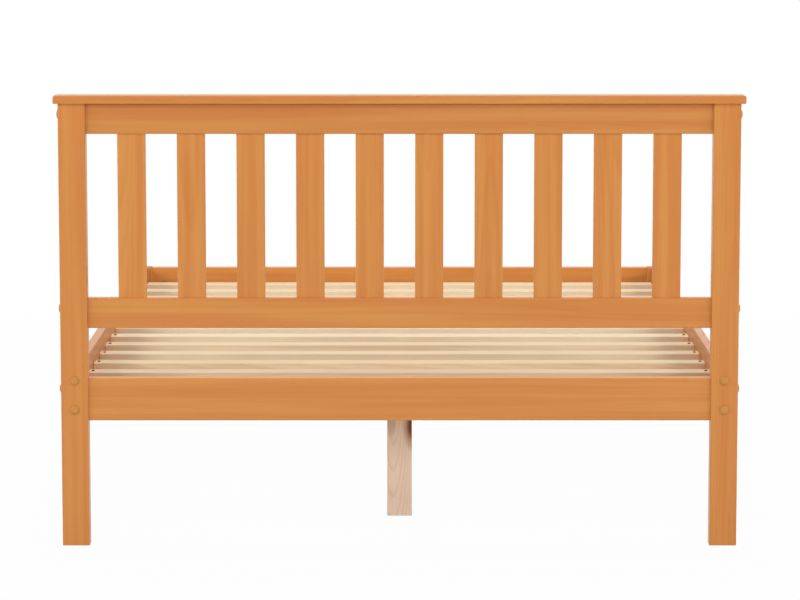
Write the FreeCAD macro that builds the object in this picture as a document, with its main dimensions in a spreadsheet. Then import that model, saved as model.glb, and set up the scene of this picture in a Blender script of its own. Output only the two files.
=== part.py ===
import FreeCAD, Part
import os
import re
import Sketcher

# How many there are of the pieces that repeat.
head_slat_count = 10
bed_slat_count = 13
ledger_screw_count = 4
slats_between_ledger_screws = 3
bracket_holes_per_flange = 2

# Driving dimensions in millimetres: name, size and what it measures.
driving_sizes = (
    ("mattress_width", 1400, "mattress that the frame takes, across"),
    ("mattress_length", 1900, "mattress that the frame takes, along"),
    ("mattress_side_room", 8, "room between mattress and side rail"),
    ("mattress_end_room", 10, "room along the mattress, both ends together"),
    ("mattress_sink", 38, "slat tops below the side rail tops"),
    ("floor_clearance", 280, "floor to the underside of the low rails"),
    ("head_height", 1000, "floor to the top of the head cap"),
    ("lower_rail_level", 486, "floor to the underside of the lower head rail"),
    ("post_width", 60, "post across the bed"),
    ("post_depth", 40, "post along the bed"),
    ("post_round", 3, "round on the post edges"),
    ("cap_thickness", 18, "head cap board"),
    ("cap_side_overhang", 10, "head cap past the posts, across"),
    ("cap_face_overhang", 8, "head cap past the post faces"),
    ("cap_round", 5, "round on the cap's upper edges and corners"),
    ("cap_under_round", 1.5, "round on the cap's lower edges"),
    ("head_rail_height", 67, "upper and lower head rails"),
    ("head_rail_thickness", 24, "upper and lower head rails"),
    ("end_rail_height", 95, "low rail between the head posts"),
    ("end_rail_thickness", 28, "low rails between the posts, head and foot"),
    ("side_rail_height", 115, "side rails and foot rail"),
    ("side_rail_thickness", 20, "side rails"),
    ("rail_round", 2.5, "round on the rail edges"),
    ("head_slat_width", 62, "upright slat of the head"),
    ("head_slat_thickness", 16, "upright slat of the head"),
    ("head_slat_round", 2, "round on the head slat edges"),
    ("tenon_length", 12, "stub tenon into a head rail"),
    ("tenon_shoulder", 3, "shoulder round a stub tenon"),
    ("bed_slat_width", 55, "slat under the mattress"),
    ("bed_slat_thickness", 18, "slat under the mattress"),
    ("bed_slat_round", 2, "round on the bed slat edges"),
    ("bed_slat_end_room", 0.5, "slat end to the side rail"),
    ("bed_slat_start", 46, "post to the middle of the first slat"),
    ("ledger_width", 20, "strip that carries the slat ends, across"),
    ("ledger_height", 26, "strip that carries the slat ends, upright"),
    ("ledger_end_room", 5, "ledger end to the post"),
    ("beam_width", 24, "centre beam, across"),
    ("beam_height", 45, "centre beam, upright"),
    ("leg_width", 57, "centre leg across the bed"),
    ("leg_depth", 35, "centre leg along the bed"),
    ("leg_start", 330, "post to the middle of the centre leg"),
    ("timber_round", 1.5, "round on the ledger, beam and leg edges"),
    ("side_bolt_spacing", 65, "between the two bolts of a side rail end"),
    ("head_bolt_rise", 9, "head rail bolt above the rail's middle"),
    ("head_dowel_drop", 16, "head rail dowel below the rail's middle"),
    ("end_bolt_level", 70.5, "low rail underside to its bolt"),
    ("end_dowel_level", 23.5, "low rail underside to its dowel"),
    ("bolt_diameter", 6, "connecting bolt"),
    ("bolt_head_diameter", 15, "flat head of the bolt"),
    ("bolt_head_thickness", 2.5, "flat head of the bolt"),
    ("bolt_key", 4, "six-sided key socket, across its flats"),
    ("bolt_key_depth", 2, "six-sided key socket"),
    ("bolt_tip", 0.8, "bevel at the end of bolts and studs"),
    ("bolt_bore_room", 1, "bolt bore wider than the bolt"),
    ("bolt_tail", 8, "bolt past the middle of its nut"),
    ("sink_room", 1, "sunk seat wider than the bolt head"),
    ("sink_depth", 6, "sunk seat of the bolt head"),
    ("side_nut_inset", 45, "side rail end to its nut"),
    ("cross_nut_inset", 35, "cross rail end to its nut"),
    ("nut_diameter", 10, "barrel nut"),
    ("nut_length", 14, "barrel nut"),
    ("nut_slot_width", 1.6, "driver slot in the nut's end"),
    ("nut_slot_depth", 1.5, "driver slot in the nut's end"),
    ("bolt_cap_diameter", 22, "domed cap over a bolt head"),
    ("bolt_cap_rise", 4.5, "domed cap above the post"),
    ("bolt_cap_lip", 1, "straight edge of the domed cap"),
    ("bolt_cap_stem", 3, "stem of the cap in the sunk seat"),
    ("rail_dowel_diameter", 10, "dowel between post and cross rail"),
    ("rail_dowel_length", 40, "dowel between post and cross rail"),
    ("cap_dowel_diameter", 8, "dowel under the head cap"),
    ("cap_dowel_length", 24, "dowel under the head cap"),
    ("cap_dowel_grip", 10, "dowel's reach into the head cap"),
    ("dowel_bevel", 1, "bevel on dowel ends"),
    ("screw_diameter", 4, "wood screw"),
    ("screw_head_diameter", 8, "countersunk screw head"),
    ("screw_recess", 0.6, "screw head below the wood"),
    ("screw_point", 5, "tapered point of a screw"),
    ("slat_screw_length", 40, "screw through a bed slat"),
    ("ledger_screw_length", 35, "screw through a ledger"),
    ("bracket_screw_length", 12, "screw through an angle bracket"),
    ("bracket_flange", 40, "angle bracket, each flange"),
    ("bracket_height", 30, "angle bracket, upright"),
    ("bracket_thickness", 2.5, "angle bracket plate"),
    ("bracket_bend", 2.5, "outer bend of the angle bracket"),
    ("bracket_hole_start", 14, "bracket corner to its first hole"),
    ("bracket_hole_step", 16, "between the holes of a flange"),
    ("stud_diameter", 8, "stud between centre leg and beam"),
    ("stud_length", 70, "stud between centre leg and beam"),
    ("stud_grip", 30, "stud's reach into the beam"),
    ("fit_room", 0.2, "hole wider than what fits in it"),
    ("end_room", 0.6, "blind hole deeper than what fits in it"),
    ("overrun", 2, "through cuts past the wood"),
)

document = FreeCAD.newDocument("slatted_bed")
sheet = document.addObject("Spreadsheet::Sheet", "Sizes")
for row, (name, size, meaning) in enumerate(driving_sizes, start=1):
    sheet.set(f"A{row}", meaning)
    sheet.set(f"B{row}", str(size))
    sheet.setAlias(f"B{row}", name)
document.recompute()

# Every named length as an expression on the sheet.
lengths = {name: f"Sizes.{name}" for name, size, meaning in driving_sizes}


def spell(expression):
    """The expression with each named length replaced by its cells."""
    return re.sub(r"[a-z]\w+", lambda word: lengths.get(word.group(), word.group()), expression)


def name_length(name, expression):
    """Name a length that follows from others."""
    lengths[name] = f"({spell(expression)})"


def value(expression):
    """The expression's present size in millimetres."""
    return float(sheet.evalExpression(spell(expression)))


def bind(target, path, expression):
    target.setExpression(path, spell(expression))


# Across the bed: X from the middle plane. The side rails stand over the middle of the posts.
name_length("rail_inner_x", "mattress_width / 2 + mattress_side_room")
name_length("rail_centre_x", "rail_inner_x + side_rail_thickness / 2")
name_length("post_inner_x", "rail_centre_x - post_width / 2")
name_length("post_outer_x", "rail_centre_x + post_width / 2")
name_length("ledger_x", "rail_inner_x - ledger_width / 2")
name_length("cap_dowel_x", "rail_centre_x / 2")

# Along the bed: Y from the head, which is at the low end, with the origin in the middle of the whole.
name_length("side_rail_length", "mattress_length + mattress_end_room")
name_length("posts_length", "side_rail_length + 2 * post_depth")
name_length("head_face_y", "(cap_face_overhang - bolt_cap_rise - posts_length) / 2")
name_length("head_post_y", "head_face_y + post_depth / 2")
name_length("rail_middle_y", "head_face_y + posts_length / 2")
name_length("foot_face_y", "head_face_y + posts_length")
name_length("foot_post_y", "foot_face_y - post_depth / 2")
name_length("bed_slat_pitch", f"(side_rail_length - 2 * bed_slat_start) / {bed_slat_count - 1}")
name_length("leg_offset", "side_rail_length / 2 - leg_start")
name_length("beam_length", "side_rail_length + post_depth - end_rail_thickness")

# Upright: Z from the floor.
name_length("side_rail_z", "floor_clearance + side_rail_height / 2")
name_length("rail_top_z", "floor_clearance + side_rail_height")
name_length("bed_slat_z", "rail_top_z - mattress_sink - bed_slat_thickness / 2")
name_length("slat_seat_z", "rail_top_z - mattress_sink - bed_slat_thickness")
name_length("ledger_z", "slat_seat_z - ledger_height / 2")
name_length("beam_z", "slat_seat_z - beam_height / 2")
name_length("leg_height", "slat_seat_z - beam_height")
name_length("end_rail_z", "floor_clearance + end_rail_height / 2")
name_length("head_post_height", "head_height - cap_thickness")
name_length("upper_rail_z", "head_post_height - head_rail_height / 2")
name_length("lower_rail_z", "lower_rail_level + head_rail_height / 2")
name_length("side_bolt_low_z", "side_rail_z - side_bolt_spacing / 2")
name_length("side_bolt_high_z", "side_rail_z + side_bolt_spacing / 2")
name_length("end_bolt_z", "floor_clearance + end_bolt_level")
name_length("end_dowel_z", "floor_clearance + end_dowel_level")

# Head slats stand at even gaps between the posts.
name_length("head_slats_width", f"{head_slat_count} * head_slat_width")
name_length("head_slat_gap", f"(2 * post_inner_x - head_slats_width) / {head_slat_count + 1}")
name_length("head_slat_pitch", "head_slat_gap + head_slat_width")
name_length("head_slat_length", "head_post_height - 2 * head_rail_height - lower_rail_level")
name_length("head_slat_z", "lower_rail_level + head_rail_height + head_slat_length / 2")
name_length("tenon_width", "head_slat_width - 2 * tenon_shoulder")
name_length("tenon_thickness", "head_slat_thickness - 2 * tenon_shoulder")

# Bores and bolt lengths follow from what they hold and pass through.
name_length("bolt_bore", "bolt_diameter + bolt_bore_room")
name_length("sink_diameter", "bolt_head_diameter + sink_room")
name_length("nut_bore", "nut_diameter + fit_room")
name_length("screw_bore", "screw_diameter + fit_room")
name_length("stud_bore", "stud_diameter + fit_room")
name_length("rail_dowel_bore", "rail_dowel_diameter + fit_room")
name_length("rail_dowel_depth", "rail_dowel_length / 2 + end_room")
name_length("cap_dowel_bore", "cap_dowel_diameter + fit_room")
name_length("side_bolt_reach", "side_nut_inset + bolt_tail")
name_length("cross_bolt_reach", "cross_nut_inset + bolt_tail")
name_length("side_bolt_length", "post_depth - sink_depth + side_bolt_reach")
name_length("cross_bolt_length", "post_width - sink_depth + cross_bolt_reach")
name_length("dome_rise", "bolt_cap_rise - bolt_cap_lip")
name_length("dome_radius", "((bolt_cap_diameter / 2) ^ 2 + dome_rise ^ 2) / (2 * dome_rise)")

pieces = []


def origin_feature(body, role):
    return next(feature for feature in body.Origin.OriginFeatures if feature.Role == role)


def new_body(label):
    body = document.addObject("PartDesign::Body", label)
    body.Label = label
    return body


def place(piece, x, y, z):
    for axis, expression in zip("xyz", (x, y, z)):
        bind(piece, f"Placement.Base.{axis}", expression)


def sketch_on(body, role, name, right="0", up="0", out="0"):
    """Sketch on an origin plane of the body, shifted in that plane and out of it."""
    sketch = body.newObject("Sketcher::SketchObject", name)
    sketch.AttachmentSupport = (origin_feature(body, role), "")
    sketch.MapMode = "FlatFace"
    for axis, expression in zip("xyz", (right, up, out)):
        bind(sketch, f"AttachmentOffset.Base.{axis}", expression)
    return sketch


def hold_point(sketch, curve, end, direction, expression):
    """Hold a point of a curve at a signed distance from the sketch's origin."""
    reach = value(expression)
    across = {"DistanceX": -2, "DistanceY": -1}[direction]
    if reach == 0:
        sketch.addConstraint(Sketcher.Constraint("PointOnObject", curve, end, across))
        return
    if reach > 0:
        span = (-1, 1, curve, end)
        distance = expression
    else:
        span = (curve, end, -1, 1)
        distance = f"-({expression})"
    number = sketch.addConstraint(Sketcher.Constraint(direction, *span, abs(reach)))
    bind(sketch, f"Constraints[{number}]", distance)


def outline(sketch, corners):
    """Closed outline of straight lines through corners given as pairs of expressions."""
    points = [FreeCAD.Vector(value(x), value(y), 0) for x, y in corners]
    following = points[1:] + points[:1]
    lines = [Part.LineSegment(point, after) for point, after in zip(points, following)]
    sketch.addGeometry(lines, False)
    for number in range(len(lines)):
        after = (number + 1) % len(lines)
        sketch.addConstraint(Sketcher.Constraint("Coincident", number, 2, after, 1))
    for number, (x, y) in enumerate(corners):
        hold_point(sketch, number, 1, "DistanceX", x)
        hold_point(sketch, number, 1, "DistanceY", y)


def rectangle(sketch, width, height):
    """Rectangle about the sketch's origin."""
    right, up = f"({width}) / 2", f"({height}) / 2"
    outline(sketch, ((f"-{right}", f"-{up}"), (right, f"-{up}"), (right, up), (f"-{right}", up)))


def circles(sketch, diameter, centres):
    """Circles of one diameter about centres given as pairs of expressions."""
    for x, y in centres:
        centre = FreeCAD.Vector(value(x), value(y), 0)
        circle = Part.Circle(centre, FreeCAD.Vector(0, 0, 1), value(diameter) / 2)
        number = sketch.addGeometry(circle, False)
        hold_point(sketch, number, 3, "DistanceX", x)
        hold_point(sketch, number, 3, "DistanceY", y)
        constraint = sketch.addConstraint(Sketcher.Constraint("Diameter", number, value(diameter)))
        bind(sketch, f"Constraints[{constraint}]", diameter)


def pad(body, sketch, length, sides="One side"):
    feature = body.newObject("PartDesign::Pad", f"{sketch.Label}_pad")
    feature.Profile = sketch
    feature.SideType = sides
    bind(feature, "Length", length)
    return feature


def pocket(body, sketch, depth, along_normal=False):
    """Cut against the sketch's normal, or along it."""
    feature = body.newObject("PartDesign::Pocket", f"{sketch.Label}_cut")
    feature.Profile = sketch
    feature.Reversed = along_normal
    bind(feature, "Length", depth)
    return feature


def turn(body, kind, sketch, axis):
    """Revolution or groove about an axis of its own sketch."""
    feature = body.newObject(f"PartDesign::{kind}", f"{sketch.Label}_turn")
    feature.Profile = sketch
    feature.ReferenceAxis = (sketch, [axis])
    return feature


def mirror_features(body, role, features):
    feature = body.newObject("PartDesign::Mirrored", "other_side")
    feature.Originals = features
    feature.MirrorPlane = (origin_feature(body, role), [""])
    body.Tip = feature


def repeat_features(body, role, features, count, length):
    """Copies in a row along an axis of the body, the last one a length away."""
    feature = body.newObject("PartDesign::LinearPattern", "row")
    feature.Originals = features
    feature.Direction = (origin_feature(body, role), [""])
    feature.Occurrences = count
    bind(feature, "Length", length)
    body.Tip = feature


def runs_along(direction):
    """Test for the edges that run in a direction."""
    def test(edge):
        run = edge.tangentAt(edge.FirstParameter)
        return run.cross(direction).Length < Part.Precision.angular()
    return test


def round_edges(body, feature, radius, wanted):
    """Round the edges that pass a test."""
    document.recompute()
    edges = enumerate(feature.Shape.Edges, start=1)
    rounded = body.newObject("PartDesign::Fillet", "rounded_edges")
    rounded.Base = (feature, [f"Edge{number}" for number, edge in edges if wanted(edge)])
    bind(rounded, "Radius", radius)
    return rounded


def board_across(label, length, depth, height):
    """Board along X about its own middle."""
    body = new_body(label)
    section = sketch_on(body, "YZ_Plane", "section")
    rectangle(section, depth, height)
    return body, pad(body, section, length, "Symmetric")


def board_along(label, length, width, height):
    """Board along Y about its own middle."""
    body = new_body(label)
    section = sketch_on(body, "XZ_Plane", "section")
    rectangle(section, width, height)
    return body, pad(body, section, length, "Symmetric")


def board_upright(label, length, width, depth, sides="One side"):
    """Board along Z, standing on its origin or about its own middle."""
    body = new_body(label)
    section = sketch_on(body, "XY_Plane", "section")
    rectangle(section, width, depth)
    return body, pad(body, section, length, sides)


along_x = FreeCAD.Vector(1, 0, 0)
along_y = FreeCAD.Vector(0, 1, 0)
along_z = FreeCAD.Vector(0, 0, 1)


def countersink(depth, recess):
    """Half section of a screw hole: distance from its axis, then depth below the wood."""
    mouth = "(screw_head_diameter + fit_room) / 2"
    bore = "screw_bore / 2"
    cone_end = f"({recess} + (screw_head_diameter - screw_diameter) / 2)"
    section = [("0", "0"), (mouth, "0"), (mouth, recess), (bore, cone_end), (bore, depth), ("0", depth)]
    if recess == "0":
        section.pop(1)
    return section


def post(label, height, cross_bolts, dowels, cap_dowel):
    """Post about its own middle line, outer faces at the low X and low Y sides."""
    body, block = board_upright(label, height, "post_width", "post_depth")
    round_edges(body, block, "post_round", runs_along(along_z))
    side_bolts = [("0", "side_bolt_low_z"), ("0", "side_bolt_high_z")]
    bores = sketch_on(body, "XZ_Plane", "side_bolt_bores", out="post_depth / 2")
    circles(bores, "bolt_bore", side_bolts)
    pocket(body, bores, "post_depth + overrun")
    seats = sketch_on(body, "XZ_Plane", "side_bolt_seats", out="post_depth / 2")
    circles(seats, "sink_diameter", side_bolts)
    pocket(body, seats, "sink_depth")
    bores = sketch_on(body, "YZ_Plane", "cross_bolt_bores", out="-post_width / 2")
    circles(bores, "bolt_bore", [("0", level) for level in cross_bolts])
    pocket(body, bores, "post_width + overrun", along_normal=True)
    seats = sketch_on(body, "YZ_Plane", "cross_bolt_seats", out="-post_width / 2")
    circles(seats, "sink_diameter", [("0", level) for level in cross_bolts])
    pocket(body, seats, "sink_depth", along_normal=True)
    holes = sketch_on(body, "YZ_Plane", "dowel_holes", out="post_width / 2")
    circles(holes, "rail_dowel_bore", [("0", level) for level in dowels])
    pocket(body, holes, "rail_dowel_depth")
    if cap_dowel:
        hole = sketch_on(body, "XY_Plane", "cap_dowel_hole", out=height)
        circles(hole, "cap_dowel_bore", [("0", "0")])
        pocket(body, hole, "cap_dowel_length - cap_dowel_grip + end_room")
    return body


def other_hand(label, source):
    """The same piece on the other side of the bed's middle plane."""
    piece = document.addObject("Part::Mirroring", label)
    piece.Label = label
    piece.Source = source
    piece.Normal = along_x
    return piece


def cross_rail(label, thickness, height, bolt_rise, dowel_rise):
    """Rail between two posts about its own middle, nut holes on the high Y side."""
    body, bar = board_across(label, "2 * post_inner_x", thickness, height)
    round_edges(body, bar, "rail_round", runs_along(along_x))
    bore = sketch_on(body, "YZ_Plane", "bolt_bore", out="post_inner_x")
    circles(bore, "bolt_bore", [("0", bolt_rise)])
    bolt_cut = pocket(body, bore, "cross_bolt_reach + end_room")
    hole = sketch_on(body, "YZ_Plane", "dowel_hole", out="post_inner_x")
    circles(hole, "rail_dowel_bore", [("0", dowel_rise)])
    dowel_cut = pocket(body, hole, "rail_dowel_depth")
    hole = sketch_on(body, "XZ_Plane", "nut_hole", out=f"-({thickness}) / 2")
    circles(hole, "nut_bore", [("post_inner_x - cross_nut_inset", bolt_rise)])
    nut_cut = pocket(body, hole, f"({thickness} + nut_length) / 2 + end_room", along_normal=True)
    mirror_features(body, "YZ_Plane", [bolt_cut, dowel_cut, nut_cut])
    return body


def mortises(body, face, upward):
    """Row of blind mortises for the head slats in a face of a head rail."""
    first = f"-head_slat_pitch * {head_slat_count - 1} / 2"
    slot = sketch_on(body, "XY_Plane", "mortise", right=first, out=face)
    rectangle(slot, "tenon_width + fit_room", "tenon_thickness + fit_room")
    cut = pocket(body, slot, "tenon_length + end_room", along_normal=upward)
    repeat_features(body, "X_Axis", [cut], head_slat_count, f"head_slat_pitch * {head_slat_count - 1}")


def bracket_pilots(body, thickness, level):
    """Screw holes for the beam's brackets in the high Y face of a low rail."""
    places = []
    for number in range(bracket_holes_per_flange):
        reach = f"(beam_width / 2 + bracket_hole_start + {number} * bracket_hole_step)"
        places += [(reach, level), (f"-{reach}", level)]
    holes = sketch_on(body, "XZ_Plane", "bracket_pilots", out=f"-({thickness}) / 2")
    circles(holes, "screw_bore", places)
    pocket(body, holes, "bracket_screw_length - bracket_thickness + end_room", along_normal=True)


# Head: posts, cap board, rails and upright slats.
head_bolt_levels = ("upper_rail_z + head_bolt_rise", "lower_rail_z + head_bolt_rise", "end_bolt_z")
head_dowel_levels = ("upper_rail_z - head_dowel_drop", "lower_rail_z - head_dowel_drop", "end_dowel_z")
head_post_left = post("head_post_left", "head_post_height", head_bolt_levels, head_dowel_levels, True)
place(head_post_left, "-rail_centre_x", "head_post_y", "0")
pieces += [head_post_left, other_hand("head_post_right", head_post_left)]

head_cap, cap_bar = board_across("head_cap", "2 * (post_outer_x + cap_side_overhang)",
                                 "post_depth + 2 * cap_face_overhang", "cap_thickness")
upper_rounds = round_edges(head_cap, cap_bar, "cap_round", lambda edge: edge.BoundBox.ZMax > 0)
round_edges(head_cap, upper_rounds, "cap_under_round", lambda edge: edge.BoundBox.ZMax < 0)
cap_dowel_reaches = ("-rail_centre_x", "-cap_dowel_x", "0", "cap_dowel_x", "rail_centre_x")
cap_holes = sketch_on(head_cap, "XY_Plane", "dowel_holes", out="-cap_thickness / 2")
circles(cap_holes, "cap_dowel_bore", [(reach, "0") for reach in cap_dowel_reaches])
pocket(head_cap, cap_holes, "cap_dowel_grip + end_room", along_normal=True)
place(head_cap, "0", "head_post_y", "head_post_height + cap_thickness / 2")
pieces.append(head_cap)

upper_rail = cross_rail("head_upper_rail", "head_rail_thickness", "head_rail_height",
                        "head_bolt_rise", "-head_dowel_drop")
mortises(upper_rail, "-head_rail_height / 2", True)
cap_holes = sketch_on(upper_rail, "XY_Plane", "cap_dowel_holes", out="head_rail_height / 2")
circles(cap_holes, "cap_dowel_bore", [(reach, "0") for reach in cap_dowel_reaches[1:-1]])
pocket(upper_rail, cap_holes, "cap_dowel_length - cap_dowel_grip + end_room")
place(upper_rail, "0", "head_post_y", "upper_rail_z")

lower_rail = cross_rail("head_lower_rail", "head_rail_thickness", "head_rail_height",
                        "head_bolt_rise", "-head_dowel_drop")
mortises(lower_rail, "head_rail_height / 2", False)
place(lower_rail, "0", "head_post_y", "lower_rail_z")

end_rail = cross_rail("head_end_rail", "end_rail_thickness", "end_rail_height",
                      "end_bolt_z - end_rail_z", "end_dowel_z - end_rail_z")
bracket_pilots(end_rail, "end_rail_thickness", "beam_z - end_rail_z")
place(end_rail, "0", "head_post_y", "end_rail_z")
pieces += [upper_rail, lower_rail, end_rail]

for number in range(head_slat_count):
    slat, upright = board_upright(f"head_slat_{number + 1:02d}", "head_slat_length",
                                  "head_slat_width", "head_slat_thickness", "Symmetric")
    round_edges(slat, upright, "head_slat_round", runs_along(along_z))
    tenons = sketch_on(slat, "XY_Plane", "tenons")
    rectangle(tenons, "tenon_width", "tenon_thickness")
    pad(slat, tenons, "head_slat_length + 2 * tenon_length", "Symmetric")
    place(slat, f"head_slat_pitch * ({number} - {head_slat_count - 1} / 2)", "head_post_y", "head_slat_z")
    pieces.append(slat)

# Foot: the same kind of posts and rail, turned to face the head.
half_turn = FreeCAD.Rotation(along_z, 180)
foot_post_right = post("foot_post_right", "rail_top_z", ("end_bolt_z",), ("end_dowel_z",), False)
foot_post_right.Placement.Rotation = half_turn
place(foot_post_right, "rail_centre_x", "foot_post_y", "0")
pieces += [foot_post_right, other_hand("foot_post_left", foot_post_right)]

foot_rail = cross_rail("foot_rail", "end_rail_thickness", "side_rail_height",
                       "end_bolt_z - side_rail_z", "end_dowel_z - side_rail_z")
bracket_pilots(foot_rail, "end_rail_thickness", "beam_z - side_rail_z")
foot_rail.Placement.Rotation = half_turn
place(foot_rail, "0", "foot_post_y", "side_rail_z")
pieces.append(foot_rail)

# Side rails, bolted to the posts through both ends, with the ledgers on their inner faces.
ledger_screw_span = f"bed_slat_pitch * {slats_between_ledger_screws * (ledger_screw_count - 1)}"
side_rail_left, bar = board_along("side_rail_left", "side_rail_length",
                                  "side_rail_thickness", "side_rail_height")
round_edges(side_rail_left, bar, "rail_round", runs_along(along_y))
bores = sketch_on(side_rail_left, "XZ_Plane", "bolt_bores", out="side_rail_length / 2")
circles(bores, "bolt_bore", [("0", "-side_bolt_spacing / 2"), ("0", "side_bolt_spacing / 2")])
bolt_cut = pocket(side_rail_left, bores, "side_bolt_reach + end_room")
nut_reach = "-(side_rail_length / 2 - side_nut_inset)"
holes = sketch_on(side_rail_left, "YZ_Plane", "nut_holes", out="side_rail_thickness / 2")
circles(holes, "nut_bore", [(nut_reach, "-side_bolt_spacing / 2"), (nut_reach, "side_bolt_spacing / 2")])
nut_cut = pocket(side_rail_left, holes, "(side_rail_thickness + nut_length) / 2 + end_room")
mirror_features(side_rail_left, "XZ_Plane", [bolt_cut, nut_cut])
pilot = sketch_on(side_rail_left, "YZ_Plane", "ledger_pilot", right=f"-{ledger_screw_span} / 2",
                  up="ledger_z - side_rail_z", out="side_rail_thickness / 2")
circles(pilot, "screw_bore", [("0", "0")])
pilot_cut = pocket(side_rail_left, pilot, "ledger_screw_length + screw_recess - ledger_width + end_room")
repeat_features(side_rail_left, "Y_Axis", [pilot_cut], ledger_screw_count, ledger_screw_span)
place(side_rail_left, "-rail_centre_x", "rail_middle_y", "side_rail_z")
pieces += [side_rail_left, other_hand("side_rail_right", side_rail_left)]

slat_span = f"bed_slat_pitch * {bed_slat_count - 1}"
ledger_left, bar = board_along("slat_ledger_left", "side_rail_length - 2 * ledger_end_room",
                               "ledger_width", "ledger_height")
round_edges(ledger_left, bar, "timber_round", runs_along(along_y))
pilot = sketch_on(ledger_left, "XY_Plane", "slat_pilot", up=f"-{slat_span} / 2", out="ledger_height / 2")
circles(pilot, "screw_bore", [("0", "0")])
pilot_cut = pocket(ledger_left, pilot, "slat_screw_length + screw_recess - bed_slat_thickness + end_room")
repeat_features(ledger_left, "Y_Axis", [pilot_cut], bed_slat_count, slat_span)
hole = sketch_on(ledger_left, "XY_Plane", "rail_screw",
                 right="ledger_width / 2", up=f"-{ledger_screw_span} / 2")
outline(hole, [(f"-({down})", away) for away, down in countersink("ledger_width + overrun", "screw_recess")])
screw_cut = turn(ledger_left, "Groove", hole, "H_Axis")
repeat_features(ledger_left, "Y_Axis", [screw_cut], ledger_screw_count, ledger_screw_span)
place(ledger_left, "-ledger_x", "rail_middle_y", "ledger_z")
pieces += [ledger_left, other_hand("slat_ledger_right", ledger_left)]

# Bed slats, each screwed down to the ledgers at its ends.
for number in range(bed_slat_count):
    slat, bar = board_across(f"bed_slat_{number + 1:02d}", "2 * (rail_inner_x - bed_slat_end_room)",
                             "bed_slat_width", "bed_slat_thickness")
    round_edges(slat, bar, "bed_slat_round", runs_along(along_x))
    hole = sketch_on(slat, "XZ_Plane", "screw_hole", right="ledger_x", up="bed_slat_thickness / 2")
    section = countersink("bed_slat_thickness + overrun", "screw_recess")
    outline(hole, [(away, f"-({down})") for away, down in section])
    screw_cut = turn(slat, "Groove", hole, "V_Axis")
    mirror_features(slat, "YZ_Plane", [screw_cut])
    place(slat, "0", f"rail_middle_y + bed_slat_pitch * ({number} - {bed_slat_count - 1} / 2)", "bed_slat_z")
    pieces.append(slat)

# Centre beam under the slats, on two legs.
centre_beam, bar = board_along("centre_beam", "beam_length", "beam_width", "beam_height")
round_edges(centre_beam, bar, "timber_round", runs_along(along_y))
holes = sketch_on(centre_beam, "XY_Plane", "stud_holes", out="-beam_height / 2")
circles(holes, "stud_bore", [("0", "-leg_offset"), ("0", "leg_offset")])
pocket(centre_beam, holes, "stud_grip + end_room", along_normal=True)
places = []
for number in range(bracket_holes_per_flange):
    reach = f"(beam_length / 2 - bracket_hole_start - {number} * bracket_hole_step)"
    places += [(reach, "0"), (f"-{reach}", "0")]
pilots = sketch_on(centre_beam, "YZ_Plane", "bracket_pilots", out="beam_width / 2")
circles(pilots, "screw_bore", places)
pilot_cut = pocket(centre_beam, pilots, "bracket_screw_length - bracket_thickness + end_room")
mirror_features(centre_beam, "YZ_Plane", [pilot_cut])
place(centre_beam, "0", "rail_middle_y", "beam_z")
pieces.append(centre_beam)

for label, offset in (("centre_leg_head", "-leg_offset"), ("centre_leg_foot", "leg_offset")):
    leg, block = board_upright(label, "leg_height", "leg_width", "leg_depth")
    round_edges(leg, block, "timber_round", runs_along(along_z))
    hole = sketch_on(leg, "XY_Plane", "stud_hole", out="leg_height")
    circles(hole, "stud_bore", [("0", "0")])
    pocket(leg, hole, "stud_length - stud_grip + end_room")
    place(leg, "0", f"rail_middle_y + {offset}", "0")
    pieces.append(leg)


def turned_piece(label, section):
    """Solid of revolution about Z; the section is distance from the axis, then height."""
    body = new_body(label)
    half = sketch_on(body, "XZ_Plane", "half_section")
    outline(half, section)
    turn(body, "Revolution", half, "V_Axis")
    return body


def rod(label, diameter, length, bevel):
    """Round rod up from its origin with both ends bevelled."""
    radius = f"({diameter}) / 2"
    section = [("0", "0"), (f"{radius} - {bevel}", "0"), (radius, bevel), (radius, f"{length} - {bevel}"),
               (f"{radius} - {bevel}", length), ("0", length)]
    return turned_piece(label, section)


def bolt(label, length):
    """Flat-headed bolt, its head seated at the origin and its shank up."""
    radius = "bolt_diameter / 2"
    section = [("0", "-bolt_head_thickness"), ("bolt_head_diameter / 2", "-bolt_head_thickness"),
               ("bolt_head_diameter / 2", "0"), (radius, "0"), (radius, f"{length} - bolt_tip"),
               (f"{radius} - bolt_tip", length), ("0", length)]
    body = turned_piece(label, section)
    corner = "bolt_key / (2 * cos(30))"
    flat = "bolt_key / 2"
    corners = [(corner, "0"), (f"{corner} / 2", flat), (f"-{corner} / 2", flat),
               (f"-{corner}", "0"), (f"-{corner} / 2", f"-{flat}"), (f"{corner} / 2", f"-{flat}")]
    socket = sketch_on(body, "XY_Plane", "key_socket", out="-bolt_head_thickness")
    outline(socket, corners)
    pocket(body, socket, "bolt_key_depth", along_normal=True)
    return body


def screw(label, length):
    """Countersunk wood screw, the top of its head at the origin and its point up."""
    radius = "screw_diameter / 2"
    head = "screw_head_diameter / 2"
    section = [("0", "0"), (head, "0"), (radius, f"{head} - {radius}"),
               (radius, f"{length} - screw_point"), ("0", length)]
    return turned_piece(label, section)


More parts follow.
